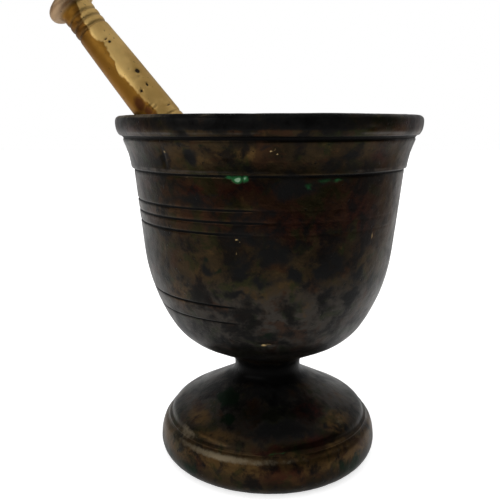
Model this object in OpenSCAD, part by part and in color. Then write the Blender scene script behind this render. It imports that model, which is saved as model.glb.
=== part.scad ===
// Footed bronze mortar with a turned brass pestle leaning in it.
// Millimetres, +Z up. The origin is the centre of the ring that the foot stands on,
// and +Z runs up the mortar's axis. The pestle leans towards -X.

/* [Foot] */
// Widest diameter of the foot ring
foot_d = 83.8; // [80:0.2:88]
// Radius of the foot ring's lower edge
foot_edge_r = 6; // [5:0.25:7]
// Radius of the foot ring's swelling side
foot_side_r = 17.3; // [16:0.1:19]
// Radius of the foot ring's upper shoulder
foot_shoulder_r = 1.6; // [1:0.1:2.2]
// Height of the foot ring, where the ledge is
foot_ring_h = 14.7; // [13.5:0.1:15.5]
// Height of the small riser from the foot ring up to the dome
ledge_h = 1.1; // [0.6:0.1:1.6]
// Depth that the ledge's corner is cut in behind the riser
ledge_in = 0.25; // [0.1:0.05:0.5]
// Radius of the dome's shoulder
dome_r = 14; // [12:0.5:18]
// Direction that the dome's side faces at the ledge, in degrees up from level
dome_side = 34; // [28:0.5:42]
// Slope of the dome's upper part, in degrees from level
dome_slope = 27.7; // [24:0.1:31]
// Width of the flat ring that the foot stands on
foot_land = 4.9; // [3:0.1:9]
// Depth of the hollow under the foot
hollow_h = 3; // [1.5:0.25:3.5]

/* [Stem] */
// Diameter of the stem at its waist
stem_d = 25.4; // [23:0.1:28]
// Length of the straight part of the waist
stem_l = 0.6; // [0.2:0.1:4]
// Radius of the fillet from the waist down to the dome
stem_low_r = 4.4; // [3.6:0.2:5.6]
// Radius of the fillet from the waist up to the bowl
stem_top_r = 5.4; // [4.4:0.2:6.4]

/* [Bowl] */
// Height of the mortar
mortar_h = 128.6; // [122:0.2:136]
// Distance that the body's top stands in from the lip
body_in = 6; // [4:0.1:8]
// Taper of the body's wall, in degrees from upright
body_taper = 5.8; // [4:0.1:8]
// Height where the tapered wall begins its slow turn inwards
turn_z = 81.5; // [76:0.5:88]
// Radius of the body's quick turn into the underside
under_r = 24.6; // [20:0.2:28]
// Slope of the underside next to the stem, in degrees from level
under_slope = 26.6; // [22:0.2:30]
// How far the slow turn brings the wall in before the quick turn
turn_in = 4.1; // [2.5:0.1:6]
// Thickness of the bowl's wall
wall = 6; // [4.5:0.1:7]
// Radius of the floor's shallow dish inside the bowl
floor_dish_r = 80; // [60:1:120]

/* [Lip] */
// Widest diameter of the lip
lip_d = 110; // [107:0.1:113]
// Height of the lip above the crease under it
lip_h = 7.95; // [7.6:0.05:8.6]
// Radius of the lip's rounded side
lip_side_r = 9; // [8:0.25:11]
// Angle that the rounded side turns in below its widest line, in degrees
lip_under = 30; // [24:1:33]
// Radius of the lip's top edge
lip_edge_r = 1.8; // [1.2:0.1:2.2]
// Height of the short upright above the rounded side
lip_band_h = 0.6; // [0.3:0.1:1]
// Distance that the crease under the lip stands in from the lip
crease_in = 2.35; // [1.5:0.05:3]
// Height of the hollow-curved neck, from the step up to the crease
neck_h = 10.25; // [9.5:0.05:11]
// Radius of the neck's hollow curve
neck_r = 32; // [26:1:45]
// Width of the step under the neck, and the radius of its edge
step_w = 0.9; // [0.5:0.05:1.2]
// Width of the rim, from the lip's widest line to the mouth
rim_w = 3.5; // [3:0.1:4.5]
// Radius of the rim's inner edge
mouth_edge_r = 1.2; // [0.8:0.1:1.5]
// Depth of the flared mouth, from the rim down to where the wall runs straight
flare_h = 16.5; // [13:0.5:20]

/* [Turned grooves] */
// Height of the top one of the upper grooves
upper_groove_z = 99.9; // [96:0.1:104]
// Number of upper grooves
upper_grooves = 3; // [1:1:4]
// Distance between the upper grooves
upper_pitch = 3.8; // [2.5:0.1:5]
// Height of the top one of the lower grooves
lower_groove_z = 68.1; // [64:0.1:72]
// Number of lower grooves
lower_grooves = 2; // [1:1:3]
// Distance between the lower grooves
lower_pitch = 6.2; // [4:0.1:7]
// Half width of a groove, and its depth
groove_r = 0.4; // [0.2:0.05:0.6]

/* [Pestle] */
// Length of the pestle
pestle_l = 157.6; // [150:0.2:175]
// Radius of the grinding head
head_r = 10.5; // [9.5:0.1:11.5]
// Length of the head's straight barrel
head_l = 5; // [3:0.5:9]
// Radius of the shoulder between the head's barrel and the shaft
head_shoulder_r = 3; // [1:0.25:4]
// Diameter of the shaft's lower end
shaft_low_d = 16.9; // [16:0.1:18]
// Diameter of the shaft where the grip begins
shaft_mid_d = 15; // [14.2:0.1:15.6]
// Distance from the head's end to the fine groove where the grip begins
shaft_mid_l = 97.5; // [92:0.5:104]
// Diameter of the grip's top, under the beads
grip_top_d = 12.5; // [11.8:0.1:13.2]
// Share of the grip's narrowing that is left to its upper part
grip_late = 0.4; // [0:0.05:0.6]
// Diameter of the beads under the knob
bead_d = 12.4; // [11.4:0.1:13]
// Number of beads
beads = 2; // [1:1:4]
// Length of one bead
bead_l = 3; // [2.5:0.05:4]
// Depth of the grooves beside the beads
bead_groove = 0.5; // [0.2:0.05:0.7]
// Length of the straight neck from the top bead to the knob's fillet
knob_neck_l = 2.7; // [1:0.1:4]
// Radius of the fillet from the neck out to the knob's underside
knob_fillet_r = 2; // [1:0.1:2.1]
// Diameter of the knob
knob_d = 19; // [17:0.1:22]
// Radius of the knob's edge
knob_edge_r = 2; // [1.6:0.1:2.6]
// Slope of the knob's underside, in degrees from square to the pestle
knob_under = 12; // [0:1:20]
// Radius of the knob's domed crown
knob_crown_r = 15; // [13:0.5:20]
// Distance that the head's centre stands beyond the mortar's axis
head_off = 15; // [12:0.25:17]
// Angle that the lean is turned back from -X, in degrees
lean_turn = 9; // [-20:1:20]
// Gap left between the pestle and the mortar
gap = 0.4; // [0.35:0.05:0.6]

/* [Hidden] */
$fn = 96;
arc_step = 6;          // degrees of arc for each straight of an outline

// points of an arc round c, from angle a to angle b
function arc(c, r, a, b) =
    let (n = max(2, ceil(abs(b - a) / arc_step)))
    [for (i = [0:n]) c + r * dir(a + (b - a) * i / n)];
function dir(a) = [cos(a), sin(a)];
function angle(v) = atan2(v[1], v[0]);
// radius of the arc that leaves a line square to n and runs into a circle of radius e
// inside it, if the arc's first point is v away from that circle's centre
function joining_r(v, n, e) = (pow(e, 2) - pow(norm(v), 2)) / 2 / (v * n + e);

// ---- foot ----
foot_r = foot_d / 2;
side_c = [foot_r - foot_side_r, foot_edge_r];
side_a = asin((foot_ring_h - foot_shoulder_r - foot_edge_r) / (foot_side_r - foot_shoulder_r));
shoulder_c = side_c + (foot_side_r - foot_shoulder_r) * dir(side_a);
ledge_foot = [shoulder_c[0], foot_ring_h];
ledge_top = ledge_foot + [-ledge_in, ledge_h];
hollow_r = foot_r - foot_edge_r - foot_land;
hollow_dish_r = (pow(hollow_r, 2) + pow(hollow_h, 2)) / (2 * hollow_h);

// ---- stem, and the cones that meet it ----
stem_r = stem_d / 2;
dome_c = ledge_top - dome_r * dir(dome_side);
dome_top = dome_c + dome_r * dir(90 - dome_slope);
waist_x = stem_r + stem_low_r;
waist_low_c = [waist_x, dome_top[1] + (dome_top[0] - waist_x) * tan(dome_slope)
    + stem_low_r / cos(dome_slope)];
waist_top_c = [stem_r + stem_top_r, waist_low_c[1] + stem_l];

// ---- bowl: one slow turn joins the tapered wall and the underside's quick turn ----
lip_r = lip_d / 2;
body_r = lip_r - body_in;
step_z = mortar_h - lip_h - neck_h;
wall_n = -dir(-body_taper);
wall_end = [body_r - (step_z - turn_z) * tan(body_taper), turn_z];
under_base = waist_top_c + (stem_top_r + under_r) * dir(90 + under_slope);
under_l = (under_r + turn_in - (under_base - wall_end) * wall_n) / (dir(under_slope) * wall_n);
under_c = under_base + under_l * dir(under_slope);
turn_r = joining_r(wall_end - under_c, wall_n, under_r);
turn_c = wall_end + turn_r * wall_n;
under_a = angle(under_c - turn_c);

// ---- lip and mouth ----
lip_c = [lip_r - lip_side_r, mortar_h - lip_edge_r - lip_band_h];
crease = [lip_r - crease_in, mortar_h - lip_h];
neck_low = [body_r + step_w, step_z + step_w];
neck_chord = crease - neck_low;
neck_half = asin(norm(neck_chord) / 2 / neck_r);
neck_mid_a = angle(neck_chord) + 90;
neck_c = (crease + neck_low) / 2 - neck_r * cos(neck_half) * dir(neck_mid_a);
mouth_c = [lip_r - rim_w + mouth_edge_r, mortar_h - mouth_edge_r];
flare_low_z = mortar_h - flare_h;
inner_top = [body_r, step_z] + wall * wall_n;
flare_low = [inner_top[0] + (flare_low_z - inner_top[1]) * tan(body_taper), flare_low_z];
flare_r = joining_r(flare_low - mouth_c, -wall_n, mouth_edge_r);
flare_c = flare_low - flare_r * wall_n;
flare_a = angle(mouth_c - flare_c);
floor_c = [0, under_c[1] + sqrt(pow(floor_dish_r - (under_r - wall), 2) - pow(under_c[0], 2))];
floor_a = angle(under_c - floor_c);

// ---- pestle ----
shaft_low_r = shaft_low_d / 2;
shaft_mid_r = shaft_mid_d / 2;
grip_top_r = grip_top_d / 2;
shaft_low_l = head_r + head_l + head_shoulder_r;
shaft_k = (shaft_low_r - shaft_mid_r) / (shaft_mid_l - shaft_low_l);
knob_r = knob_d / 2;
knob_edge_x = knob_r - knob_edge_r;
crown_z = pestle_l - knob_crown_r;
knob_edge_c = [knob_edge_x,
    crown_z + sqrt(pow(knob_crown_r - knob_edge_r, 2) - pow(knob_edge_x, 2))];
knob_crown_a = angle(knob_edge_c - [0, crown_z]);
bead_r = bead_d / 2;
knob_low = knob_edge_c + knob_edge_r * dir(knob_under - 90);
fillet_x = bead_r + knob_fillet_r;
fillet_c = [fillet_x, knob_low[1] - knob_fillet_r / cos(knob_under)
    - (knob_low[0] - fillet_x) * tan(knob_under)];
bead_top_z = fillet_c[1] - knob_neck_l;
bead_low_z = bead_top_z - beads * bead_l;

// rest: the head stands on the dished floor and the shaft lies in the flared mouth
head_reach = floor_dish_r - head_r - gap;
head_z = floor_c[1] - sqrt(pow(head_reach, 2) - pow(head_off, 2));
head_c = [-head_off, head_z];
cone_f = sqrt(1 + pow(shaft_k, 2));
cone_r = shaft_low_r + shaft_k * (shaft_low_l - head_r);
lean_v = flare_c - head_c;
lean_in = asin(((flare_r + gap) * cone_f + cone_r) / norm(lean_v) / cone_f) - atan(shaft_k);
lean = 90 - angle(lean_v) - lean_in;

// outside of the mortar, from the table up to the rim
outer = concat(
    arc([foot_r - foot_edge_r, foot_edge_r], foot_edge_r, -90, 0),
    arc(side_c, foot_side_r, 0, side_a),
    arc(shoulder_c, foot_shoulder_r, side_a, 90),
    arc(dome_c, dome_r, dome_side, 90 - dome_slope),
    arc(waist_low_c, stem_low_r, 270 - dome_slope, 180),
    arc(waist_top_c, stem_top_r, 180, 90 + under_slope),
    arc(under_c, under_r, under_slope - 90, under_a),
    arc(turn_c, turn_r, under_a, -body_taper),
    arc([body_r, neck_low[1]], step_w, -90, 0),
    arc(neck_c, neck_r, neck_mid_a + neck_half, neck_mid_a - neck_half),
    arc(lip_c, lip_side_r, -lip_under, 0),
    arc([lip_r - lip_edge_r, mortar_h - lip_edge_r], lip_edge_r, 0, 90));

// inside of the bowl, from the rim down to the middle of the floor
inner = concat(
    arc(mouth_c, mouth_edge_r, 90, flare_a),
    arc(flare_c, flare_r, flare_a, 180 - body_taper),
    arc(turn_c, turn_r - wall, -body_taper, under_a),
    arc(under_c, under_r - wall, under_a, floor_a),
    arc(floor_c, floor_dish_r, floor_a, -90));

// hollow under the foot, from its middle out to the ring that stands on the table
hollow = arc([0, hollow_h - hollow_dish_r], hollow_dish_r,
    90, angle([hollow_r, hollow_dish_r - hollow_h]));

// pestle's outline, from the head's end up to the crown
pestle_outline = concat(
    arc([0, head_r], head_r, -90, 0),
    arc([head_r - head_shoulder_r, head_r + head_l], head_shoulder_r, 0, 90),
    [[shaft_low_r, shaft_low_l], [shaft_mid_r, shaft_mid_l]],
    grip_curve([shaft_mid_r, shaft_mid_l], [grip_top_r, bead_low_z]),
    [[bead_r, bead_top_z]],
    arc(fillet_c, knob_fillet_r, 180, 90 + knob_under),
    arc(knob_edge_c, knob_edge_r, knob_under - 90, knob_crown_a),
    arc([0, crown_z], knob_crown_r, knob_crown_a, 90));

// the grip narrows slowly at first and faster towards the beads
function grip_curve(low, top, n = 8) =
    [for (i = [1:n]) let (t = i / n, narrowed = (1 - grip_late) * t + grip_late * pow(t, 2))
        [low[0] - (low[0] - top[0]) * narrowed, low[1] + (top[1] - low[1]) * t]];

function outer_r(z) = z > wall_end[1]
    ? body_r - (step_z - z) * tan(body_taper)
    : turn_c[0] + sqrt(pow(turn_r, 2) - pow(turn_c[1] - z, 2));

// ring that cuts a round-bottomed groove at height z in a surface of radius r
module groove(r, z, half) {
    rotate_extrude() translate([r, z]) circle(r = half, $fn = 24);
}

// cast and turned in one piece: foot, stem, bowl and lip
module mortar() {
    color("#4a3424") difference() {
        rotate_extrude() polygon(concat(hollow, outer, inner));
        for (i = [0:upper_grooves - 1]) {
            z = upper_groove_z - i * upper_pitch;
            groove(outer_r(z), z, groove_r);
        }
        for (i = [0:lower_grooves - 1]) {
            z = lower_groove_z - i * lower_pitch;
            groove(outer_r(z), z, groove_r);
        }
    }
}

// turned brass pestle, as it lies: head on the bowl's floor, shaft in the mouth
module pestle() {
    color("#b08f4a")
    rotate([0, 0, 180 - lean_turn]) translate([head_c[0], 0, head_c[1]])
    rotate([0, lean, 0]) translate([0, 0, -head_r]) difference() {
        rotate_extrude() polygon(pestle_outline);
        for (i = [0:beads]) groove(bead_r, bead_low_z + i * bead_l, bead_groove);
        groove(shaft_mid_r, shaft_mid_l, groove_r);
    }
}

mortar();
pestle();
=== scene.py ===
import math

import bpy
import numpy as np
from mathutils import Matrix, Vector, noise


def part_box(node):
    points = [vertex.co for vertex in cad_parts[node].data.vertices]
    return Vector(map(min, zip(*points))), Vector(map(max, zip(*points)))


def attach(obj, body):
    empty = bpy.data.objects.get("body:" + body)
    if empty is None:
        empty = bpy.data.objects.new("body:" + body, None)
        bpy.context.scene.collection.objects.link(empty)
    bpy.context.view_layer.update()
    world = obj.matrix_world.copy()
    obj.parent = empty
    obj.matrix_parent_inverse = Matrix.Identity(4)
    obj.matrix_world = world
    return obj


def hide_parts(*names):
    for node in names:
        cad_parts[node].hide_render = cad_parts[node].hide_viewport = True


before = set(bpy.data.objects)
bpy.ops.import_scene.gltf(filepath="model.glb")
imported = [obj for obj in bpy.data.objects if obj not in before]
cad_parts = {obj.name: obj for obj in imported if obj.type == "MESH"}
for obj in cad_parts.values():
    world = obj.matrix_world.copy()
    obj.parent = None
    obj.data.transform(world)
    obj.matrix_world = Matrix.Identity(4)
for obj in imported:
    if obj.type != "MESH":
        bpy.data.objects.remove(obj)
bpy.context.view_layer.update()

# ---- Mortar ----
# One bronze casting, turned on a lathe: foot ring, domed foot, stem, bowl, hollow neck and rolled lip.
# Years of handling have browned it, blackened it in patches and left green in its creases.
# Its outline is a chain of arcs in (radius, height), swept once round the axis.
# Painted shade and painted highlights are laid into its colour too.

# sizes in millimetres and degrees: _r is a radius, _h and _z heights, _l a length, _w a width,
# _c the centre of an arc and _a a direction
mm = 0.001
mortar_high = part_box("mortar")[1]
mortar_h = mortar_high[2] / mm
lip_r = mortar_high[0] / mm

foot_r = 41.9
foot_edge_r = 6
foot_side_r = 17.3
foot_shoulder_r = 1.6
foot_ring_h = 14.7
foot_land = 4.9
ledge_h = 1.1
ledge_in = 0.25
dome_r = 14
dome_side = 34
dome_slope = 27.7
hollow_h = 3
stem_r = 12.7
stem_l = 0.6
stem_low_r = 4.4
stem_top_r = 5.4
body_r = lip_r - 6
body_taper = 5.8
turn_z = 81.5
under_r = 24.6
under_slope = 26.6
turn_in = 4.1
wall = 6
floor_dish_r = 80
lip_h = 7.95
lip_side_r = 9
lip_under = 30
lip_edge_r = 1.8
lip_band_h = 0.6
crease_in = 2.35
neck_h = 10.25
neck_r = 32
step_w = 0.9
rim_w = 3.5
mouth_edge_r = 1.2
flare_h = 16.5


def toward(angle):
    return np.array([math.cos(math.radians(angle)), math.sin(math.radians(angle))])


def angle_of(v):
    return math.degrees(math.atan2(v[1], v[0]))


def arc(centre, radius, start, end, spacing):
    count = max(3, math.ceil(math.radians(abs(end - start)) * radius / spacing))
    return [centre + radius * toward(a) for a in np.linspace(start, end, count + 1)]


def joining_r(v, n, e):
    """Radius of the arc that leaves a line square to n and runs into a circle of radius e inside it."""
    return (e**2 - v @ v) / 2 / (v @ n + e)


def spread_evenly(outline, spacing):
    """The same outline with points at most one spacing apart."""
    points = [outline[0]]
    for a, b in zip(outline[:-1], outline[1:]):
        length = math.dist(a, b)
        if length < 1e-6:
            continue
        pieces = max(1, math.ceil(length / spacing))
        points += [a + (b - a) * i / pieces for i in range(1, pieces + 1)]
    return np.array(points)


side_c = np.array([foot_r - foot_side_r, foot_edge_r])
side_reach = foot_side_r - foot_shoulder_r
side_a = math.degrees(math.asin((foot_ring_h - foot_shoulder_r - foot_edge_r) / side_reach))
shoulder_c = side_c + side_reach * toward(side_a)
ledge_top = np.array([shoulder_c[0] - ledge_in, foot_ring_h + ledge_h])
hollow_r = foot_r - foot_edge_r - foot_land
hollow_dish_r = (hollow_r**2 + hollow_h**2) / (2 * hollow_h)
dome_c = ledge_top - dome_r * toward(dome_side)
dome_top = dome_c + dome_r * toward(90 - dome_slope)
waist_x = stem_r + stem_low_r
slope_t = math.tan(math.radians(dome_slope))
waist_low_c = np.array([waist_x, dome_top[1] + (dome_top[0] - waist_x) * slope_t
                        + stem_low_r / math.cos(math.radians(dome_slope))])
waist_top_c = np.array([stem_r + stem_top_r, waist_low_c[1] + stem_l])
step_z = mortar_h - lip_h - neck_h
taper_t = math.tan(math.radians(body_taper))
wall_n = -toward(-body_taper)
wall_end = np.array([body_r - (step_z - turn_z) * taper_t, turn_z])
under_base = waist_top_c + (stem_top_r + under_r) * toward(90 + under_slope)
under_l = (under_r + turn_in - (under_base - wall_end) @ wall_n) / (toward(under_slope) @ wall_n)
under_c = under_base + under_l * toward(under_slope)
turn_r = joining_r(wall_end - under_c, wall_n, under_r)
turn_c = wall_end + turn_r * wall_n
under_a = angle_of(under_c - turn_c)
lip_c = np.array([lip_r - lip_side_r, mortar_h - lip_edge_r - lip_band_h])
crease = np.array([lip_r - crease_in, mortar_h - lip_h])
neck_low = np.array([body_r + step_w, step_z + step_w])
neck_chord = crease - neck_low
neck_half = math.degrees(math.asin(np.linalg.norm(neck_chord) / 2 / neck_r))
neck_mid_a = angle_of(neck_chord) + 90
neck_c = (crease + neck_low) / 2 - neck_r * math.cos(math.radians(neck_half)) * toward(neck_mid_a)
mouth_c = np.array([lip_r - rim_w + mouth_edge_r, mortar_h - mouth_edge_r])
inner_top = np.array([body_r, step_z]) + wall * wall_n
flare_low = np.array([inner_top[0] + (mortar_h - flare_h - inner_top[1]) * taper_t, mortar_h - flare_h])
flare_r = joining_r(flare_low - mouth_c, -wall_n, mouth_edge_r)
flare_c = flare_low - flare_r * wall_n
floor_c = np.array([0, under_c[1] + math.sqrt((floor_dish_r - under_r + wall) ** 2 - under_c[0] ** 2)])
floor_a = angle_of(under_c - floor_c)

# spacing of points along the outline: close on the outside, where light shows every curve
fine = 0.45
outside_step = 0.55
inside_step = 1.5
flare_step = 1
coarse = 2

hollow = arc(np.array([0, hollow_h - hollow_dish_r]), hollow_dish_r, 90,
             angle_of((hollow_r, hollow_dish_r - hollow_h)), coarse)
outside = (
    arc(np.array([foot_r - foot_edge_r, foot_edge_r]), foot_edge_r, -90, 0, fine)
    + arc(side_c, foot_side_r, 0, side_a, fine)
    + arc(shoulder_c, foot_shoulder_r, side_a, 90, fine)
    + arc(dome_c, dome_r, dome_side, 90 - dome_slope, fine)
    + arc(waist_low_c, stem_low_r, 270 - dome_slope, 180, fine)
    + arc(waist_top_c, stem_top_r, 180, 90 + under_slope, fine)
    + arc(under_c, under_r, under_slope - 90, under_a, fine)
    + arc(turn_c, turn_r, under_a, -body_taper, fine)
    + arc(np.array([body_r, neck_low[1]]), step_w, -90, 0, fine)
    + arc(neck_c, neck_r, neck_mid_a + neck_half, neck_mid_a - neck_half, fine)
    + arc(lip_c, lip_side_r, -lip_under, 0, fine)
    + arc(np.array([lip_r - lip_edge_r, mortar_h - lip_edge_r]), lip_edge_r, 0, 90, fine)
)
inside = (
    arc(mouth_c, mouth_edge_r, 90, angle_of(mouth_c - flare_c), fine)
    + arc(flare_c, flare_r, angle_of(mouth_c - flare_c), 180 - body_taper, flare_step)
    + arc(turn_c, turn_r - wall, -body_taper, under_a, coarse)
    + arc(under_c, under_r - wall, under_a, floor_a, coarse)
    + arc(floor_c, floor_dish_r, floor_a, -90, coarse)
)
hollow_rows = spread_evenly(hollow, coarse)
outside_rows = spread_evenly(outside, outside_step)
inside_rows = spread_evenly(inside, inside_step)

# grooves that the lathe cut in the body, each (height, depth, degrees round where it runs out);
# there, and at the crease, step and ledge, the rows stand twice as close
grooves = [(99.9, 0.30, 2), (96.1, 0.34, 6), (92.3, 0.36, 0), (68.1, 0.36, -8), (61.9, 0.26, -6)]
groove_half_w = 0.36
cuts_at = [groove[0] for groove in grooves] + [crease[1] + 0.4, step_z, ledge_top[1]]
cut_reach = 1.2
close_up = [1 + int(min(abs(p[1] - h) for h in cuts_at) < cut_reach) for p in outside_rows]
outside_rows = np.vstack([outside_rows[:1]] + [
    np.linspace(a, b, n + 1)[1:] for a, b, n in zip(outside_rows[:-1], outside_rows[1:], close_up[1:])])
mortar_rows = np.vstack([hollow_rows, outside_rows[1:], inside_rows[1:]])
first_outside = len(hollow_rows)
last_outside = first_outside + len(outside_rows) - 2


def row_normals(rows):
    """Outward direction of the surface at each row, in the (radius, height) plane."""
    ahead = np.gradient(rows, axis=0)
    n = np.stack([ahead[:, 1], -ahead[:, 0]], 1)
    return n / np.linalg.norm(n, axis=1, keepdims=True)


def turned_mesh(name, rows, turns, cut):
    """Sweeps rows once round Z, each point set back into the metal by cut[row, turn] millimetres."""
    around = np.linspace(0, 2 * math.pi, turns, endpoint=False)
    n = row_normals(rows)
    mid = slice(1, len(rows) - 1)
    r = rows[mid, 0, None] - n[mid, 0, None] * cut[mid]
    z = rows[mid, 1, None] - n[mid, 1, None] * cut[mid]
    grid = np.stack([r * np.sin(around), -r * np.cos(around), z], -1).reshape(-1, 3)
    ends = np.array([[0, 0, rows[0, 1]], [0, 0, rows[-1, 1]]])
    verts = np.vstack([grid, ends]) * mm
    bands = len(rows) - 3
    i = np.arange(turns)
    j = (i + 1) % turns
    faces = []
    for band in range(bands):
        a, b = band * turns, (band + 1) * turns
        faces += np.stack([a + i, a + j, b + j, b + i], 1).tolist()
    low_pole, high_pole = len(grid), len(grid) + 1
    top = bands * turns
    faces += [[low_pole, int(q), int(p)] for p, q in zip(i, j)]
    faces += [[high_pole, int(top + p), int(top + q)] for p, q in zip(i, j)]
    mesh = bpy.data.meshes.new(name)
    mesh.from_pydata(verts.tolist(), [], faces)
    mesh.shade_smooth()
    mesh.update()
    return mesh


def store(mesh, name, field):
    """Keeps one number for each point of a turned mesh, for its material to read."""
    flat = np.append(field[1:-1].ravel(), [field[0].mean(), field[-1].mean()])
    mesh.attributes.new(name, "FLOAT", "POINT").data.foreach_set("value", flat.astype(np.float32))


def smooth(t):
    t = np.clip(t, 0, 1)
    return t * t * (3 - 2 * t)


def cloud(rows, turns, size, seed, detail=3):
    """Soft noise from -1 to 1 over a turned surface, in blots about size millimetres wide."""
    around = np.linspace(0, 2 * math.pi, turns, endpoint=False)
    field = np.zeros((len(rows), turns))
    shift = Vector((seed * 7.3, seed * 3.1, seed * 5.7))
    for k, (r, z) in enumerate(rows):
        for m, a in enumerate(around):
            p = Vector((r * math.sin(a), -r * math.cos(a), z)) / size + shift
            field[k, m] = noise.fractal(p, 1.0, 2.0, detail)
    return field


mortar_turns = 480
mortar_around = np.degrees(np.linspace(0, 2 * math.pi, mortar_turns, endpoint=False))
mortar_around = (mortar_around + 180) % 360 - 180
row_r = mortar_rows[:, 0]
row_z = mortar_rows[:, 1]
row_number = np.arange(len(mortar_rows))
is_outside = (row_number >= first_outside) & (row_number <= last_outside)
is_inside = row_number > last_outside
run = np.append(0, np.cumsum(np.linalg.norm(np.diff(mortar_rows, axis=0), axis=1)))


def run_at(height):
    """Distance along the outline to a height on the mortar's outside."""
    return np.interp(height, row_z[is_outside], run[is_outside])


def ring(height, half_w):
    """Soft line right round the outside, as wide along the surface as half_w says."""
    return np.exp(-(((run - run_at(height)) / half_w) ** 2)) * is_outside


def belt(height, half_h):
    """Soft belt right round the outside, between two levels."""
    return np.exp(-(((row_z - height) / half_h) ** 2)) * is_outside


def above(height, over):
    return smooth((row_z - height) / over)


def below(height, over):
    return smooth((height - row_z) / over)


def facing(turn, half_w, power=2):
    """Soft share of the way round, centred on a turn from the front; a power of 4 is squarer."""
    return np.exp(-(((mortar_around - turn) / half_w) ** power))


def all_round(rows, turns):
    """One field over the surface, from its share along the outline and its share round the axis."""
    return rows[:, None] * turns[None, :]


tear_size = 5.5
tear_across = cloud(mortar_rows, mortar_turns, tear_size, 3)
tear_along = cloud(mortar_rows, mortar_turns, tear_size, 4)


def blots(spots, torn=0.0):
    """Soft spots on the outside, torn at the edge by so many millimetres.

    Each is (degrees round from the front, height, half its width, half its height, strength)."""
    field = np.zeros((len(mortar_rows), mortar_turns))
    for turn, height, half_w, half_h, strength in spots:
        off = (mortar_around - turn + 180) % 360 - 180
        along = ((run - run_at(height))[:, None] + torn * tear_along) / half_h
        across = (np.maximum(row_r, 1)[:, None] * np.radians(off)[None, :] + torn * tear_across) / half_w
        field = np.maximum(field, strength * np.exp(-(along**2) - across**2) * is_outside[:, None])
    return field


# the grooves fade where they run out, but a trace of each goes on
groove_fade = 14
back_start = -178
back_fade = 30
trace = 0.06
groove_field = np.zeros((len(mortar_rows), mortar_turns))
for height, depth, ends_at in grooves:
    kept_part = smooth((ends_at - mortar_around) / groove_fade)
    kept_part *= smooth((mortar_around - back_start) / back_fade)
    line = all_round(depth * ring(height, groove_half_w), np.maximum(kept_part, trace))
    groove_field = np.maximum(groove_field, line)

# the crease under the lip and the corner under the neck are a little deeper than they were drawn,
# and the bevel over the crease leans in
crease_depth = 0.4
step_depth = 0.2
bevel_depth = 0.3
bevel_h = 3.0
crease_field = ring(crease[1] + 0.45, 0.85)
step_field = ring(step_z - 0.1, 0.5)
bevel_t = np.clip((row_z - crease[1]) / bevel_h, 0, 1)
bevel_field = bevel_depth * (1 - bevel_t) * (row_z > crease[1] - 0.01) * is_outside
# the ledge on the foot is crisp at the front and worn soft everywhere else
at_front = facing(-12, 26)
ledge_worn = all_round(0.5 * ring(ledge_top[1] + 0.3, 1.3) + 0.4 * ring(foot_ring_h - 0.5, 1.1),
                       1 - 0.75 * at_front)
ledge_filled = all_round(ring(foot_ring_h + 0.2, 0.6), 0.55 - 0.3 * at_front)

# the casting's skin, with its slow waves and its grain
skin = 0.06
wave_depth = 0.10
grain_depth = 0.045
cast_waves = cloud(mortar_rows, mortar_turns, 26, 1, 2)
cast_grain = cloud(mortar_rows, mortar_turns, 3.2, 2)

# nicks that use has left, each as deep in millimetres as its strength says
nicks = [
    (-39.5, 115.5, 0.7, 2.6, 0.45),
    (-29, 117, 2.6, 1.4, 0.25),
    (-14, 115.7, 0.6, 0.5, 0.35),
    (-11.5, 90.8, 0.7, 0.8, 0.35),
    (-4.5, 65.2, 0.8, 0.8, 0.35),
    (-1.5, 65.2, 0.8, 0.8, 0.4),
    (-1, 54, 2.2, 0.5, 0.3),
    (-28, 123.5, 1.6, 0.8, 0.3),
    (34, 124.5, 2.2, 0.9, 0.25),
    (120, 127.6, 2.5, 1.0, 0.35),
    (-150, 124, 1.5, 1.1, 0.3),
]
mortar_cut = skin + wave_depth * cast_waves + grain_depth * cast_grain
mortar_cut += blots(nicks)
mortar_cut += groove_field
mortar_cut += ledge_worn
mortar_cut += (crease_depth * crease_field + step_depth * step_field + bevel_field)[:, None]
mortar_cut = np.maximum(mortar_cut, 0)
mortar_cut -= ledge_filled
# the ring that it stands on stays flat
standing_h = 0.02
mortar_cut[row_z < standing_h] = 0

mortar_mesh = turned_mesh("mortar_casting", mortar_rows, mortar_turns, mortar_cut)
mortar = bpy.data.objects.new("mortar_casting", mortar_mesh)
bpy.context.collection.objects.link(mortar)
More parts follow.
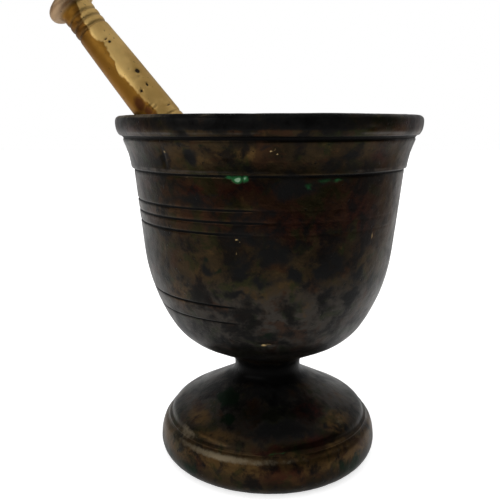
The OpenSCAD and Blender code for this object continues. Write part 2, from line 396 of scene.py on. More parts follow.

# finishes that gather in places, as spots with torn edges, with painted shade among them
torn = 2.4
black_patina_and_shade = blots([
    (-39.5, 115.5, 1.0, 3.4, 0.9),
    (-31, 118.3, 4.0, 0.9, 0.9),
    (-28, 115.8, 4.0, 2.3, 1.25),
    (-33, 112.6, 3.0, 1.2, 0.8),
    (-1, 118.6, 3.2, 0.8, 0.8),
    (-47, 114.8, 0.9, 0.9, 0.6),
    (16, 114, 8, 1.5, 0.7),
    (37, 118, 2.2, 1.2, 0.9),
    (-40, 110, 9, 1.0, 0.7),
    (-34, 102, 16, 3.0, 0.85),
    (-24, 95, 10, 3.0, 0.6),
    (26, 113, 9, 3.0, 0.85),
    (44, 117, 5, 3.0, 0.5),
    (17, 119.5, 8, 1.5, 0.6),
    (-7, 99.5, 10, 3, 0.7),
    (-2, 91, 7, 5, 0.75),
    (10, 106.6, 9, 5, 1.0),
    (-6.5, 92, 8, 4, 0.9),
    (2.5, 86, 8, 5, 0.9),
    (-7, 73.5, 5, 3, 0.8),
    (3, 78, 5, 3, 0.7),
    (14, 67.5, 5, 3, 0.6),
    (-22, 55, 5, 3, 0.7),
    (3.5, 56, 8, 3, 0.6),
    (20, 108.5, 13, 1.5, 0.8),
    (-19.5, 104.3, 2.2, 1.4, 0.8),
    (-5, 96, 6, 2.5, 0.5),
    (-24, 81, 3.0, 3.2, 0.95),
    (-10.5, 82, 3.6, 4.2, 0.95),
    (-2, 88, 5.0, 3.0, 0.7),
    (9.5, 80, 3.2, 4.4, 1.15),
    (26, 74, 3.0, 3.0, 0.8),
    (-4, 68, 4.0, 3.0, 0.8),
    (22, 79, 4.2, 3.6, 1.15),
    (29, 84, 4.0, 4.0, 1.0),
    (40, 78, 2.8, 4.6, 1.15),
    (39, 70, 5.0, 3.0, 1.15),
    (47, 82, 2.5, 3.0, 0.7),
    (-3.5, 77.5, 2.2, 1.6, 1.0),
    (-13, 74, 4.6, 1.4, 1.0),
    (-3.5, 73, 2.2, 1.4, 1.0),
    (-35, 76, 3.0, 4.0, 0.5),
    (-20, 65.5, 3.0, 2.4, 0.95),
    (14, 69.5, 4.0, 3.2, 0.75),
    (27, 67, 3.0, 4.0, 0.75),
    (-30, 57, 4.0, 3.0, 0.6),
    (-10, 56.5, 4.0, 2.4, 0.9),
    (8, 57, 6.0, 2.4, 0.9),
    (35, 57, 4.0, 3.0, 0.8),
    (-36, 23, 3, 2, 0.6),
    # the next two darken the front of the dome under the bowl: painted shade
    (5, 29, 14, 8, 1.2),
    (5, 21, 13, 5, 1.2),
    (24, 20, 6, 3.5, 1.0),
    (30, 116, 9, 4, 0.7),
    (58, 103, 11, 6, 0.7),
    (38, 20, 2.5, 2.0, 0.9),
    (52, 17.5, 2.5, 1.5, 0.7),
    (-55, 18, 3, 2, 0.6),
    (-22, 9, 5, 1.2, 0.7),
    (22, 4.5, 3.5, 3, 0.8),
    (33, 8, 2.5, 3, 0.8),
    (95, 75, 7, 9, 0.8),
    (150, 104, 9, 6, 0.8),
    (-140, 70, 10, 8, 0.8),
    (-110, 94, 6, 7, 0.7),
    (175, 60, 9, 6, 0.7),
    (120, 17, 8, 4, 0.8),
    (-150, 12, 9, 5, 0.7),
], torn)
# the lip's upper band is painted black, most at the front: a painted dark reflection
lip_dark_reflection = above(crease[1] + 2.4, 1.2) * is_outside
lip_front = 0.2 + 0.8 * facing(-1, 48)
# painted shade round the stem and under the bowl, put in with the black patches
stem_shade = ring(33, 7)
under_bowl_shade = ring(46, 5)
black_patina_and_shade = np.maximum(black_patina_and_shade, all_round(lip_dark_reflection, lip_front))
black_patina_and_shade = np.maximum(black_patina_and_shade, np.maximum(1.1 * stem_shade, 0.8 * under_bowl_shade)[:, None])
# the deepest black: painted shade round the stem and on the dome's front, and part of the lip's painted
# dark reflection
painted_deep_shade = np.maximum(1.1 * stem_shade[:, None], 0.6 * all_round(lip_dark_reflection, lip_front))
painted_deep_shade = np.maximum(painted_deep_shade, blots([(5, 27, 11, 8, 0.8)], torn))

tanned = blots([
    (-34, 116, 20, 5, 0.5),
    (-8, 117, 9, 3, 1.1),
    (33, 116, 7, 3.5, 0.6),
    (64, 124, 10, 3, 1.0),
    (-42, 99, 14, 10, 0.6),
    (-18, 88, 12, 5, 0.4),
    (0, 68, 10, 6, 0.35),
    (-30, 19, 14, 3, 0.8),
    (48, 20, 9, 5, 1.15),
    (-38, 17.5, 7, 3, 0.9),
    (-26, 10, 12, 4, 0.7),
    (-50, 21, 9, 4, 1.0),
    (13, 13, 10, 3, 1.0),
    (12, 8, 6, 3, 0.8),
    (38, 13, 10, 4, 1.3),
    (30, 10, 7, 3, 1.1),
    (50, 9, 6, 4, 1.0),
    (-42, 70, 9, 9, 0.7),
    (-30, 80, 12, 8, 0.5),
    (100, 116, 20, 5, 0.7),
    (-120, 115, 24, 5, 0.8),
    (170, 116, 22, 5, 0.7),
    (130, 86, 18, 8, 0.5),
    (-90, 84, 14, 8, 0.4),
], torn)
inside_low = below(mortar_h - 12, 50) * is_inside
# the foot ring is tan round its middle and stays dark towards its lower edge: painted shade near the floor
ring_tan = belt(11.5, 4.5) * (row_r > 30)
tanned = np.maximum(tanned, np.maximum(0.95 * ring_tan, 1.1 * inside_low)[:, None])

reddened = blots([
    (-10, 106, 12, 3.5, 0.8),
    (-27, 105, 7, 3.0, 0.8),
    (12, 95, 16, 9, 0.65),
    (36, 98, 12, 10, 0.65),
    (42, 115, 6, 3, 0.8),
    (55, 125, 16, 3, 0.9),
    (-60, 124, 20, 3.5, 0.8),
    (38, 24, 9, 5, 1.1),
    (25, 18, 9, 4, 0.8),
    (2, 16.5, 12, 2, 0.8),
    (8, 9, 9, 4, 0.8),
    (-12, 26, 3, 2, 0.8),
    (-38, 9, 5, 3, 0.6),
    (-170, 98, 20, 10, 0.7),
    (110, 106, 14, 6, 0.6),
], torn)
rusty = all_round(above(88, 9) * below(111, 4) * is_outside,
                  0.75 + 0.25 * np.cos(np.radians(mortar_around * 2 + 40)))
greyed = np.maximum(below(84, 22) * above(42, 8) * is_outside, 0.8 * belt(24, 6))
greyed = np.repeat(greyed[:, None], mortar_turns, axis=1)

# painted highlights along the edges: the lip's bevel, the neck's lower edge and the rim; and on the foot's
# shoulder, rubbed metal with a painted highlight
edge_highlight_gap = 0.95 - 0.9 * facing(15, 15, 4) - 0.3 * facing(-16, 16, 4)
edge_highlight = all_round(np.maximum(0.75 * ring(crease[1] + 2.1, 0.75), 0.8 * ring(neck_low[1] + 0.2, 0.7)),
                        edge_highlight_gap)
rim_highlight = above(mortar_h - 1.5, 1.0) * is_outside
rim_side = facing(-42, 30, 4) + 0.5 * facing(150, 40, 4)
edge_highlight = np.maximum(edge_highlight, 0.8 * all_round(rim_highlight, rim_side))
# the foot's shoulder is rubbed bright all round, and most at the front left, where it is lit: worn metal
# and a painted highlight
shoulder_side = 0.45 + 0.6 * facing(-24, 26) + 0.4 * facing(170, 40)
shoulder_wear_and_highlight = all_round(ring(13.4, 1.6), shoulder_side)
shoulder_wear_and_highlight = np.maximum(shoulder_wear_and_highlight, 1.1 * all_round(rim_highlight, facing(-38, 38, 4)))
shoulder_wear_and_highlight = np.maximum(shoulder_wear_and_highlight, blots([(-50, 16.0, 8, 3.0, 0.9), (52, 20, 5, 2.5, 0.6)], 1.5))

greened = blots([
    (-42, 26, 6, 4, 1.3),
    (-30, 22, 4, 3, 0.9),
    (-50, 5, 14, 4, 0.8),
    (48, 6, 12, 5, 0.7),
    (58, 15, 3, 2.5, 0.8),
    (-22, 80.5, 3.6, 1.6, 0.8),
    (-24, 83, 1.6, 1.6, 0.8),
    (9, 82, 1.6, 2.2, 0.6),
    (4, 57, 8, 2.0, 0.7),
    (-22, 118.6, 4, 0.9, 0.6),
    (37, 118, 2, 1.2, 0.5),
    (0, 3, 14, 2.5, 0.5),
    (130, 24, 9, 4, 0.8),
    (-120, 5, 20, 4, 0.7),
    (160, 5, 20, 4, 0.7),
], torn)
verdigris = blots([
    (-11.3, 109.5, 1.8, 1.3, 1.1),
    (-8.0, 109.5, 1.5, 1.2, 0.95),
    (-13.8, 110.0, 1.8, 0.8, 0.75),
    (14, 107.8, 1.6, 1.4, 0.52),
    (20, 108.6, 4.5, 0.9, 0.55),
    (26, 108.6, 2.4, 0.9, 0.55),
    (3, 15.6, 4.0, 0.35, 0.5),
    (9, 15.6, 3.5, 0.35, 0.5),
    (-97, 109.5, 3.5, 0.8, 0.9),
    (142, 109.5, 4.5, 0.7, 0.8),
    (-165, 15.6, 5, 0.4, 0.8),
    (100, 15.6, 4, 0.4, 0.7),
], 1.0)
worn = blots([
    (-38.6, 117.2, 0.6, 0.9, 0.95),
    (1.0, 117.8, 0.6, 0.5, 1.0),
    (2.8, 117.0, 0.6, 0.5, 0.95),
    (2.2, 118.4, 0.55, 0.4, 0.85),
    (-11.8, 90.9, 0.8, 0.45, 0.95),
    (-10.8, 90.3, 0.5, 0.7, 0.9),
    (-8.8, 89.4, 0.5, 0.4, 0.85),
    (46, 90, 0.6, 2.0, 0.85),
    (-12, 86.5, 0.5, 0.9, 0.75),
    (-2, 53.6, 1.6, 0.5, 0.95),
    (0.5, 54.0, 1.3, 0.4, 0.95),
    (-17, 26.3, 1.4, 0.9, 0.55),
    (-12, 26.0, 1.0, 0.5, 0.5),
    (-5, 25.5, 1.2, 0.4, 0.45),
    (-55, 24.8, 0.9, 0.8, 0.5),
    (120, 127.6, 2.0, 0.5, 0.7),
])
# dirt and painted shade fill every groove, the crease and the step
full_groove = 0.3
cut_dirt_and_shade = np.maximum(groove_field / full_groove, (crease_field + 0.9 * step_field)[:, None])
finishes = {
    "black_patina_and_shade": black_patina_and_shade,
    "painted_deep_shade": painted_deep_shade,
    "tanned": tanned,
    "rusty": rusty,
    "reddened": reddened,
    "greyed": greyed,
    "greened": greened,
    "edge_highlight": edge_highlight,
    "shoulder_wear_and_highlight": shoulder_wear_and_highlight,
    "verdigris": verdigris,
    "worn": worn,
    "cut_dirt_and_shade": cut_dirt_and_shade,
}
for name, field in finishes.items():
    store(mortar_mesh, name, field)


def new_material(name):
    material = bpy.data.materials.new(name)
    material.use_nodes = True
    nodes = material.node_tree.nodes
    nodes.clear()
    shader = nodes.new("ShaderNodeBsdfPrincipled")
    output = nodes.new("ShaderNodeOutputMaterial")
    material.node_tree.links.new(shader.outputs["BSDF"], output.inputs["Surface"])
    return material, shader


def join(material, out_socket, in_socket):
    material.node_tree.links.new(out_socket, in_socket)


def noise_node(material, size, detail, rough, warp=0.0):
    """Noise whose blots are about size metres wide, fixed to the piece."""
    nodes = material.node_tree.nodes
    place = nodes.new("ShaderNodeTexCoord")
    node = nodes.new("ShaderNodeTexNoise")
    node.inputs["Scale"].default_value = 1 / size
    node.inputs["Detail"].default_value = detail
    node.inputs["Roughness"].default_value = rough
    node.inputs["Distortion"].default_value = warp
    join(material, place.outputs["Object"], node.inputs["Vector"])
    return node.outputs["Fac"]


def ramp(material, value, low, high, to_low=0.0, to_high=1.0):
    """Stretches value so that low becomes to_low and high becomes to_high, and no further."""
    node = material.node_tree.nodes.new("ShaderNodeMapRange")
    node.inputs["From Min"].default_value = low
    node.inputs["From Max"].default_value = high
    node.inputs["To Min"].default_value = to_low
    node.inputs["To Max"].default_value = to_high
    node.interpolation_type = "SMOOTHSTEP"
    join(material, value, node.inputs["Value"])
    return node.outputs["Result"]


def math_node(material, operation, a, b):
    node = material.node_tree.nodes.new("ShaderNodeMath")
    node.operation = operation
    for socket, value in zip(node.inputs, (a, b)):
        if isinstance(value, (int, float)):
            socket.default_value = value
        else:
            join(material, value, socket)
    return node.outputs[0]


def plus(material, a, b):
    return math_node(material, "ADD", a, b)


def times(material, a, b):
    return math_node(material, "MULTIPLY", a, b)


def tint(material, amount, under, over):
    """Lays the colour over on the colour under, as much as amount says."""
    node = material.node_tree.nodes.new("ShaderNodeMix")
    node.data_type = "RGBA"
    join(material, amount, node.inputs["Factor"])
    for socket, value in ((node.inputs["A"], under), (node.inputs["B"], over)):
        if isinstance(value, tuple):
            socket.default_value = (*value, 1)
        else:
            join(material, value, socket)
    return node.outputs["Result"]


def kept(material, name):
    node = material.node_tree.nodes.new("ShaderNodeAttribute")
    node.attribute_name = name
    return node.outputs["Fac"]


def torn_finish(material, name, rough, share):
    """A stored finish with some noise added, so that its edge tears."""
    return plus(material, kept(material, name), times(material, rough, share))


def patches(material, name, ragged, low, high, reach=1.0):
    """Where a stored finish shows: its soft spots, scaled by reach and torn at the edges by noise."""
    edge = plus(material, times(material, kept(material, name), reach), ragged)
    return ramp(material, edge, low, high)


def emboss(material, shader, relief, depth, strength):
    """Fine relief of so many metres that the light picks up, from a pattern."""
    node = material.node_tree.nodes.new("ShaderNodeBump")
    node.inputs["Distance"].default_value = depth
    node.inputs["Strength"].default_value = strength
    join(material, relief, node.inputs["Height"])
    join(material, node.outputs["Normal"], shader.inputs["Normal"])


# the metal's own browns, then the finishes laid over them, with painted shade and painted highlights among
# them
brown = (0.040, 0.027, 0.014)
dark_brown = (0.017, 0.012, 0.007)
rust = (0.038, 0.018, 0.010)
tan = (0.099, 0.057, 0.021)
maroon = (0.040, 0.011, 0.008)
olive_green = (0.014, 0.022, 0.008)
grey = (0.046, 0.040, 0.034)
black = (0.008, 0.0078, 0.0076)
# the deepest painted shade
deep_shade_black = (0.0025, 0.0024, 0.0023)
dark_green = (0.006, 0.016, 0.007)
verdigris_green = (0.010, 0.075, 0.022)
verdigris_pale = (0.16, 0.27, 0.17)
# painted highlight on the edges
highlight_grey = (0.10, 0.09, 0.08)
# rubbed bronze, lit up as a painted highlight
rubbed_bronze_highlight = (0.17, 0.135, 0.085)
bare_metal = (0.52, 0.37, 0.17)

bronze, shader = new_material("bronze_patina")
broad = noise_node(bronze, 0.028, 4, 0.55)
blotch = noise_node(bronze, 0.010, 5, 0.6, 0.5)
small = noise_node(bronze, 0.0042, 5, 0.65, 0.3)
speck = noise_node(bronze, 0.0017, 3, 0.6)
grain = noise_node(bronze, 0.0008, 3, 0.6)
hue = noise_node(bronze, 0.008, 4, 0.6, 0.6)
ragged = plus(bronze, times(bronze, blotch, 1.1), times(bronze, small, 0.9))
mottle = plus(bronze, times(bronze, blotch, 0.55), times(bronze, small, 0.35))
mottle = plus(bronze, mottle, times(bronze, speck, 0.10))

colour = tint(bronze, ramp(bronze, broad, 0.40, 0.62), brown, dark_brown)
colour = tint(bronze, patches(bronze, "rusty", ragged, 1.05, 1.75, 0.8), colour, rust)
colour = tint(bronze, patches(bronze, "greyed", ragged, 1.0, 1.7, 0.8), colour, grey)
colour = tint(bronze, patches(bronze, "tanned", ragged, 1.15, 1.75, 0.8), colour, tan)
colour = tint(bronze, patches(bronze, "reddened", ragged, 1.10, 1.75, 0.8), colour, maroon)
colour = tint(bronze, ramp(bronze, hue, 0.52, 0.62, 0.0, 0.55), colour, olive_green)
colour = tint(bronze, ramp(bronze, hue, 0.46, 0.35, 0.0, 0.7), colour, rust)
# painted highlight along the edges
edge_shine = torn_finish(bronze, "edge_highlight", small, 0.7)
colour = tint(bronze, ramp(bronze, edge_shine, 0.65, 1.25), colour, highlight_grey)
colour = tint(bronze, ramp(bronze, mottle, 0.45, 0.59, 0.0, 0.92), colour, black)
colour = tint(bronze, ramp(bronze, mottle, 0.44, 0.33, 0.0, 0.45), colour, tan)
shoulder = torn_finish(bronze, "shoulder_wear_and_highlight", speck, 0.9)
shoulder = plus(bronze, shoulder, times(bronze, small, 0.6))
# rubbed metal and painted highlight on the foot's shoulder and rim
colour = tint(bronze, ramp(bronze, shoulder, 1.15, 1.75), colour, rubbed_bronze_highlight)
colour = tint(bronze, patches(bronze, "greened", ragged, 1.35, 1.75, 0.9), colour, dark_green)
# black patina, with painted shade round the stem, under the bowl and on the dome's front
blackness = patches(bronze, "black_patina_and_shade", ragged, 1.18, 1.90, 0.95)
colour = tint(bronze, blackness, colour, black)
# painted deepest shade
colour = tint(bronze, patches(bronze, "painted_deep_shade", ragged, 1.45, 1.9), colour, deep_shade_black)
# dirt and painted shade in every cut
dirt_and_shade_in_cuts = ramp(bronze, torn_finish(bronze, "cut_dirt_and_shade", small, 0.4), 0.4, 0.8)
colour = tint(bronze, dirt_and_shade_in_cuts, colour, black)
pits = ramp(bronze, speck, 0.66, 0.74)
colour = tint(bronze, times(bronze, pits, 0.8), colour, black)
crust = torn_finish(bronze, "verdigris", small, 0.9)
crusted = ramp(bronze, crust, 0.72, 1.25)
colour = tint(bronze, crusted, colour, verdigris_green)
colour = tint(bronze, ramp(bronze, crust, 1.28, 1.45), colour, verdigris_pale)
bare = ramp(bronze, torn_finish(bronze, "worn", speck, 0.5), 0.74, 1.16)
colour = tint(bronze, bare, colour, bare_metal)
join(bronze, colour, shader.inputs["Base Color"])

# the black patches, painted shade among them, and crust hide the metal and dull it
metal = math_node(bronze, "SUBTRACT", 0.94, times(bronze, blackness, 0.45))
metal = math_node(bronze, "MINIMUM", metal, ramp(bronze, crusted, 0, 1, 0.94, 0.05))
join(bronze, metal, shader.inputs["Metallic"])
shader.inputs["Specular IOR Level"].default_value = 0.05
dull = ramp(bronze, blotch, 0.35, 0.65, 0.26, 0.38)
dull = plus(bronze, dull, times(bronze, grain, 0.06))
dull = plus(bronze, dull, times(bronze, kept(bronze, "shoulder_wear_and_highlight"), 0.14))
dull = math_node(bronze, "MAXIMUM", dull, ramp(bronze, crusted, 0, 1, 0.0, 0.85))
dull = math_node(bronze, "MAXIMUM", dull, ramp(bronze, dirt_and_shade_in_cuts, 0, 1, 0.0, 0.6))
join(bronze, dull, shader.inputs["Roughness"])

relief = plus(bronze, times(bronze, small, 0.7), times(bronze, grain, 0.35))
relief = math_node(bronze, "SUBTRACT", relief, times(bronze, pits, 0.6))
relief = plus(bronze, relief, times(bronze, crusted, 0.8))
emboss(bronze, shader, relief, 0.0003, 0.45)
mortar_mesh.materials.append(bronze)

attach(mortar, "mortar")
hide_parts("mortar")

# ---- Pestle ----
# A solid brass bar, turned: round grinding head, tapering shaft, grip with two beads, and a knob.
# It lies loose in the bowl, its head on the floor and its shaft in the flared mouth.

pestle_l = 157.6
head_r = 10.5
head_l = 5
head_shoulder_r = 3
shaft_low_r = 8.45
shaft_mid_r = 7.5
shaft_mid_l = 97.5
grip_top_r = 6.25
grip_late = 0.4
bead_r = 6.2
beads = 2
bead_l = 3
bead_groove = 0.38
knob_neck_l = 2.7
knob_fillet_r = 2
knob_r = 9.5
knob_edge_r = 2
knob_under = 12
knob_crown_r = 15
head_off = 15
lean = 38.88
lean_turn = 9

shaft_low_l = head_r + head_l + head_shoulder_r
crown_z = pestle_l - knob_crown_r
knob_edge_x = knob_r - knob_edge_r
knob_edge_c = np.array([knob_edge_x,
                        crown_z + math.sqrt((knob_crown_r - knob_edge_r) ** 2 - knob_edge_x**2)])
knob_crown_a = angle_of(knob_edge_c - (0, crown_z))
knob_low = knob_edge_c + knob_edge_r * toward(knob_under - 90)
under_t = math.tan(math.radians(knob_under))
fillet_x = bead_r + knob_fillet_r
fillet_c = np.array([fillet_x, knob_low[1] - knob_fillet_r / math.cos(math.radians(knob_under))
                     - (knob_low[0] - fillet_x) * under_t])
bead_top_z = fillet_c[1] - knob_neck_l
bead_low_z = bead_top_z - beads * bead_l
grip_steps = 24
grip = []
for i in range(1, grip_steps + 1):
    t = i / grip_steps
    narrowed = (1 - grip_late) * t + grip_late * t**2
    grip.append(np.array([shaft_mid_r - (shaft_mid_r - grip_top_r) * narrowed,
                          shaft_mid_l + (bead_low_z - shaft_mid_l) * t]))
close = 0.35
pestle_outline = (
    arc(np.array([0, head_r]), head_r, -90, 0, close)
    + arc(np.array([head_r - head_shoulder_r, head_r + head_l]), head_shoulder_r, 0, 90, close)
    + [np.array([shaft_low_r, shaft_low_l]), np.array([shaft_mid_r, shaft_mid_l])]
    + grip
    + [np.array([bead_r, bead_top_z])]
    + arc(fillet_c, knob_fillet_r, 180, 90 + knob_under, close)
    + arc(knob_edge_c, knob_edge_r, knob_under - 90, knob_crown_a, close)
    + arc(np.array([0, crown_z]), knob_crown_r, knob_crown_a, 90, close)
)
pestle_rows = spread_evenly(pestle_outline, close)
pestle_turns = 180
pestle_around = np.degrees(np.linspace(0, 2 * math.pi, pestle_turns, endpoint=False))
bar_r = pestle_rows[:, 0, None]
bar_l = pestle_rows[:, 1, None]


def collar(along, half_w):
    """Soft line round the bar at so many millimetres from its lower end."""
    return np.exp(-(((bar_l - along) / half_w) ** 2))


# turned smooth, with faint waves, a groove at each end of a bead and one where the grip starts
bead_ends = [bead_low_z + i * bead_l for i in range(beads + 1)]
bead_groove_half_w = 0.55
grip_groove = 0.35
grip_groove_half_w = 0.4
pestle_skin = 0.03
pestle_wave_depth = 0.04
pestle_cut = pestle_skin + pestle_wave_depth * cloud(pestle_rows, pestle_turns, 9, 5, 2)
pestle_cut = np.maximum(pestle_cut, 0)
for along in bead_ends:
    pestle_cut += bead_groove * collar(along, bead_groove_half_w)
pestle_cut += grip_groove * collar(shaft_mid_l, grip_groove_half_w)


def on_pestle(spots):
    """Soft spots on the bar, each (degrees round, millimetres along, half width, half length, strength)."""
    field = np.zeros((len(pestle_rows), pestle_turns))
    for turn, along, half_w, half_l, strength in spots:
        up = (bar_l - along) / half_l
        off = (pestle_around - turn + 180) % 360 - 180
        side = np.radians(off)[None, :] * np.maximum(bar_r, 1) / half_w
        field = np.maximum(field, strength * np.exp(-(up**2) - side**2))
    return field


# small pits that the casting left, each with a rusty halo
pit_depth = 0.4
pit_spots = [
    (-132, 117.2, 1.0, 1.0, 1.0),
    (-136, 111.0, 0.5, 0.7, 0.9),
    (-162, 110.1, 0.6, 0.5, 0.9),
    (-144, 131.6, 0.8, 0.6, 0.65),
    (-148, 133.1, 0.9, 0.4, 0.6),
    (-121, 132.2, 0.5, 0.5, 0.6),
    (-133, 136.1, 0.5, 0.5, 0.5),
    (-151, 119.3, 0.4, 0.4, 0.5),
    (-142, 114.9, 0.5, 0.4, 0.5),
    (-166, 104, 1.2, 0.4, 0.45),
    (-161, 102.4, 1.0, 0.4, 0.4),
    (-120, 100.6, 1.5, 0.4, 0.7),
    (-60, 124, 0.7, 0.6, 0.9),
    (20, 118, 0.6, 0.8, 0.8),
    (70, 105, 0.8, 0.6, 0.8),
    (-20, 90, 0.7, 0.7, 0.8),
]
casting_pits = on_pestle(pit_spots)
pit_halos = on_pestle([(turn, along, 2 * w, 2 * l, 0.45 * strength)
                       for turn, along, w, l, strength in pit_spots])
pestle_cut += pit_depth * casting_pits
pestle_mesh = turned_mesh("pestle_bar", pestle_rows, pestle_turns, pestle_cut)

# one side is painted pale gold and the other amber, for the bright and the dark halves of what the polished
# bar mirrors: painted reflection, with a sharp wavy border between them on the grip and a soft one on the
# shaft, and neither runs to a point on the knob's crown
border = cloud(pestle_rows, pestle_turns, 6, 8, 4)
border_at = [100, 108, 120, 127, 132, 137, 143, 150]
border_turn = [-163, -170, -184, -170, -162, -177, -165, -153]
amber_reach = np.interp(bar_l, border_at, border_turn)
past_border = (pestle_around[None, :] - amber_reach + 14 * border + 180) % 360 - 180
under_side = (pestle_around - 60 + 20 * border + 180) % 360 - 180
border_w = 7 + 33 * smooth((100 - bar_l) / 14)
above_edge = smooth((bar_l - knob_edge_c[1] - 0.5) / 2)
dark_reflection_side = smooth(-past_border / border_w) * smooth(under_side / (2 * border_w))
dark_reflection_side *= 1 - above_edge
store(pestle_mesh, "amber", dark_reflection_side)
# darker still towards the knob, in the same painted reflection
store(pestle_mesh, "deeper_dark_side", dark_reflection_side * (0.35 + 0.65 * smooth((bar_l - 136) / 6)))
knob_side = np.cos(np.radians(pestle_around - 180))[None, :] + 0.6 * border
knob_pink = smooth((bar_l - fillet_c[1] - 0.8) / 1.2) * (0.3 + 0.7 * smooth(knob_side + 0.5))
crown_pink = 0.6 + 0.35 * cloud(pestle_rows, pestle_turns, 5, 9, 3)
knob_pink = knob_pink * (1 - above_edge) + np.clip(crown_pink, 0, 1) * above_edge
store(pestle_mesh, "knob_pink", knob_pink)
# bead grooves and the corner under the knob are painted brown: dirt, with painted shade
grooved = np.repeat(collar(fillet_c[1] + 1.2, 0.5), pestle_turns, axis=1)
for along in bead_ends:
    grooved = np.maximum(grooved, collar(along, 0.5))
store(pestle_mesh, "grooved", 0.55 * grooved)
store(pestle_mesh, "pitted", casting_pits)
rust_spots = [
    (169, 107, 2.4, 3.4, 1.0),
    (178, 103, 2.0, 2.8, 0.9),
    (-175, 100.5, 1.6, 1.6, 0.7),
    (40, 112, 3, 4, 0.8),
]
store(pestle_mesh, "rusted", np.maximum(on_pestle(rust_spots), pit_halos))

pestle_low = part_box("pestle")[0]
head_c = Vector((-head_off * mm, 0, pestle_low[2] + head_r * mm))
placed = (
    Matrix.Rotation(math.radians(180 - lean_turn), 4, "Z")
    @ Matrix.Translation(head_c)
    @ Matrix.Rotation(math.radians(lean), 4, "Y")
    @ Matrix.Translation((0, 0, -head_r * mm))
)
pestle_mesh.transform(placed)
pestle = bpy.data.objects.new("pestle_bar", pestle_mesh)
bpy.context.collection.objects.link(pestle)

gold = (0.90, 0.61, 0.22)
dull_gold = (0.60, 0.37, 0.11)
rusty_brass = (0.13, 0.045, 0.012)
amber = (0.36, 0.175, 0.024)
deeper_dark_amber = (0.15, 0.062, 0.009)
handled_pink = (0.50, 0.34, 0.20)
dirt = (0.05, 0.035, 0.02)
groove_brown = (0.16, 0.095, 0.035)

brass, shader = new_material("brass_handled")
broad = noise_node(brass, 0.016, 4, 0.55)
fine_noise = noise_node(brass, 0.0035, 4, 0.6)
speck = noise_node(brass, 0.0016, 2, 0.5)
colour = tint(brass, ramp(brass, broad, 0.40, 0.62, 0.0, 0.8), gold, dull_gold)
# painted reflection: amber on the dark side, darker towards the knob
colour = tint(brass, kept(brass, "amber"), colour, amber)
deeper_dark_share = times(brass, kept(brass, "deeper_dark_side"), ramp(brass, broad, 0.58, 0.40, 0.15, 0.95))
colour = tint(brass, deeper_dark_share, colour, deeper_dark_amber)
colour = tint(brass, kept(brass, "knob_pink"), colour, handled_pink)
rusted = torn_finish(brass, "rusted", fine_noise, 0.5)
colour = tint(brass, ramp(brass, rusted, 0.45, 1.05), colour, rusty_brass)
# dirt and painted shade in the grooves
colour = tint(brass, kept(brass, "grooved"), colour, groove_brown)
pitted = torn_finish(brass, "pitted", fine_noise, 0.5)
colour = tint(brass, ramp(brass, pitted, 0.55, 0.85), colour, dirt)
colour = tint(brass, ramp(brass, speck, 0.68, 0.76, 0.0, 0.6), colour, dirt)
join(brass, colour, shader.inputs["Base Color"])
shader.inputs["Metallic"].default_value = 0.92
join(brass, ramp(brass, fine_noise, 0.3, 0.7, 0.42, 0.55), shader.inputs["Roughness"])
emboss(brass, shader, fine_noise, 0.0002, 0.4)
pestle_mesh.materials.append(brass)

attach(pestle, "pestle")
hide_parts("pestle")

# ---- Floor and light ----
# A pale matt floor under a white surround, with two soft lamps at the front left.
# Cloths hang and lie round the object for its metal to mirror: black flock in front, brown felt on
# the floor at the sides, grey scrim behind and above. All other light goes through them.

floor_half = 3.0


def square(name, half, z, stuff):
    """A level sheet over the origin."""
    mesh = bpy.data.meshes.new(name)
    mesh.from_pydata([(-half, -half, z), (half, -half, z), (half, half, z), (-half, half, z)],
                     [], [(0, 1, 2, 3)])
    mesh.materials.append(stuff)
    sheet = bpy.data.objects.new(name, mesh)
    bpy.context.collection.objects.link(sheet)
    return sheet


pale, shader = new_material("pale_floor")
shader.inputs["Base Color"].default_value = (0.86, 0.86, 0.86, 1)
shader.inputs["Roughness"].default_value = 0.9
shader.inputs["Emission Color"].default_value = (1, 1, 1, 1)
# it glows for the camera alone, so it looks white and still holds the object's shadow
floor_glow = 0.6
path = pale.node_tree.nodes.new("ShaderNodeLightPath")
seen = times(pale, path.outputs["Is Camera Ray"], floor_glow)
join(pale, seen, shader.inputs["Emission Strength"])
floor = square("floor", floor_half, 0, pale)

# white to the camera and in the metal, and a little dimmer as a light
surround_white = 1.0
surround_light = 0.9
surround = bpy.data.worlds.new("white_surround")
bpy.context.scene.world = surround
surround.use_nodes = True
surround_nodes = surround.node_tree.nodes
surround_nodes.clear()
path = surround_nodes.new("ShaderNodeLightPath")
seen = math_node(surround, "MAXIMUM", path.outputs["Is Camera Ray"], path.outputs["Is Glossy Ray"])
seen = math_node(surround, "MAXIMUM", seen, path.outputs["Is Transmission Ray"])
sky = surround_nodes.new("ShaderNodeBackground")
sky.inputs["Color"].default_value = (1, 1, 1, 1)
strength = ramp(surround, seen, 0, 1, surround_light, surround_white)
join(surround, strength, sky.inputs["Strength"])
surround_out = surround_nodes.new("ShaderNodeOutputWorld")
join(surround, sky.outputs["Background"], surround_out.inputs["Surface"])


def cloth_material(name, colour):
    material, shader = new_material(name)
    shader.inputs["Base Color"].default_value = (*colour, 1)
    shader.inputs["Roughness"].default_value = 1.0
    return material


def only_mirrored(cloth):
    """Lets the camera, the lamps and all soft light through, so that only reflections show the cloth."""
    cloth.visible_camera = False
    cloth.visible_diffuse = False
    cloth.visible_shadow = False


def hang(name, stuff, start, end, inner, outer):
    """Cloth in a curve round the object, from one (distance, height) in metres to another."""
    posts = 24
    edge = [toward(a - 90) for a in np.linspace(start, end, posts)]
    verts = [(x * d, y * d, z) for d, z in (inner, outer) for x, y in edge]
    faces = [(i, i + 1, i + posts + 1, i + posts) for i in range(posts - 1)]
    mesh = bpy.data.meshes.new(name)
    mesh.from_pydata(verts, [], faces)
    mesh.materials.append(stuff)
    cloth = bpy.data.objects.new(name, mesh)
    bpy.context.collection.objects.link(cloth)
    only_mirrored(cloth)


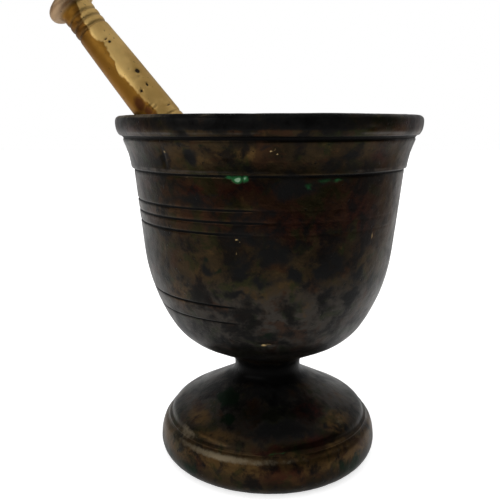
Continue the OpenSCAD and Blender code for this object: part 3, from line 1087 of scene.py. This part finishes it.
# how far from the axis the cloths on the floor begin and end, and the scrim hangs
flock_from = 0.26
felt_from = 0.36
cloth_to = 0.9
scrim_at = 1.2
flock = cloth_material("black_flock", (0.01, 0.01, 0.01))
felt = cloth_material("brown_felt", (0.34, 0.23, 0.15))
scrim = cloth_material("grey_scrim", (0.45, 0.45, 0.45))
hang("front_flock", flock, -105, 105, (cloth_to, 0.001), (cloth_to, 0.8))
hang("floor_flock", flock, -45, 60, (flock_from, 0.001), (cloth_to, 0.002))
hang("left_felt", felt, -102, -45, (felt_from, 0.001), (cloth_to, 0.002))
hang("right_felt", felt, 60, 130, (felt_from, 0.001), (cloth_to, 0.002))
hang("back_scrim", scrim, 105, 255, (scrim_at, 0.001), (scrim_at, scrim_at))
ceiling = square("top_scrim", scrim_at, scrim_at, scrim)
only_mirrored(ceiling)


def hang_lamp(name, width, height, watts, place):
    """A soft oblong lamp that faces the origin."""
    data = bpy.data.lights.new(name, "AREA")
    data.shape = "RECTANGLE"
    data.size = width
    data.size_y = height
    data.energy = watts
    lamp = bpy.data.objects.new(name, data)
    bpy.context.collection.objects.link(lamp)
    turn = (-Vector(place)).to_track_quat("-Z", "Y")
    lamp.matrix_world = Matrix.Translation(place) @ turn.to_matrix().to_4x4()


hang_lamp("high_lamp", 0.9, 0.2, 0.1, (-0.22, -0.66, 0.66))
hang_lamp("low_lamp", 1.0, 0.16, 1.3, (-0.50, -0.52, 0.29))

# ---- Camera ----
# It stands close, level with the rim, and looks down a little.
# So the foot is seen from above, and the rim almost edge on.

camera_place = (0, -0.2316, 0.1248)
camera_turn = 1.69
camera_down = 11.26
camera_roll = -0.107

camera_data = bpy.data.cameras.new("camera")
camera_data.sensor_width = 36
camera_data.lens = 44.64
camera_data.clip_start = 0.01
camera = bpy.data.objects.new("camera", camera_data)
bpy.context.collection.objects.link(camera)
camera.matrix_world = (
    Matrix.Translation(camera_place)
    @ Matrix.Rotation(math.radians(camera_turn), 4, "Z")
    @ Matrix.Rotation(math.radians(90 - camera_down), 4, "X")
    @ Matrix.Rotation(math.radians(camera_roll), 4, "Z")
)
scene = bpy.context.scene
scene.camera = camera
scene.view_settings.view_transform = "Standard"
